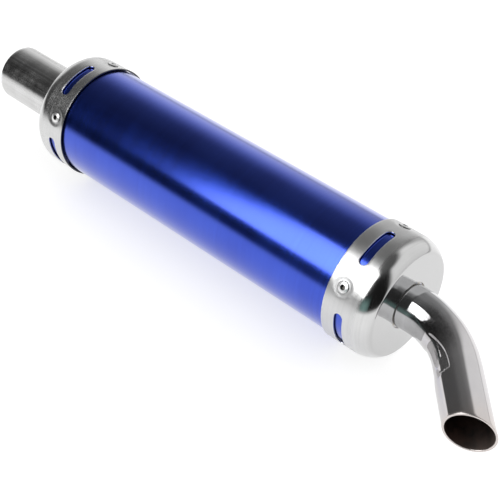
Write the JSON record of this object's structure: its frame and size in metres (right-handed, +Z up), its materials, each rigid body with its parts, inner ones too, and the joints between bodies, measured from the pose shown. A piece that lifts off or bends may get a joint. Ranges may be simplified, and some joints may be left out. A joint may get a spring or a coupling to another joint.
{
  "type": "exhaust silencer",
  "caption": "Riveted straight-through exhaust silencer: round blue can, pressed steel end caps with cooling slots, straight inlet pipe and a bent, slash-cut tail pipe.",
  "frame": {"origin": "centre of the inlet pipe's mouth, on the can's axis", "axes": "+X along the can from inlet to outlet, +Z up as the silencer lies on its caps, and the tail pipe bends towards -Y, 12 degrees below the horizontal"},
  "size_m": [0.353, 0.0725, 0.0626],
  "materials": {
    "anodised_can": "satin blue anodised aluminium",
    "cap_steel": "pressed steel, polished with fine brush lines",
    "pipe_steel": "lengthwise polished steel tube",
    "tail_chrome": "bright chrome outside, sooty inside",
    "core_steel": "plain perforated steel tube",
    "glass_fibre": "packed glass fibre",
    "weld_metal": "rippled weld bead with heat tint",
    "rivet_metal": "bright aluminium blind rivet",
    "mandrel_steel": "dull broken steel mandrel"
  },
  "bodies": {
    "root": {"outer_can": "anodised_can", "inlet_cap": "cap_steel", "outlet_cap": "cap_steel", "inlet_pipe": "pipe_steel", "tail_pipe": "tail_chrome", "perforated_core": "core_steel", "glass_fibre_packing": "glass_fibre", "inlet_weld": "weld_metal", "tail_weld": "weld_metal", "inlet_rivet_1": "rivet_metal", "inlet_rivet_2": "rivet_metal", "inlet_rivet_3": "rivet_metal", "inlet_rivet_4": "rivet_metal", "outlet_rivet_1": "rivet_metal", "outlet_rivet_2": "rivet_metal", "outlet_rivet_3": "rivet_metal", "outlet_rivet_4": "rivet_metal", "inlet_mandrel_1": "mandrel_steel", "inlet_mandrel_2": "mandrel_steel", "inlet_mandrel_3": "mandrel_steel", "inlet_mandrel_4": "mandrel_steel", "outlet_mandrel_1": "mandrel_steel", "outlet_mandrel_2": "mandrel_steel", "outlet_mandrel_3": "mandrel_steel", "outlet_mandrel_4": "mandrel_steel"}
  },
  "joints": []
}
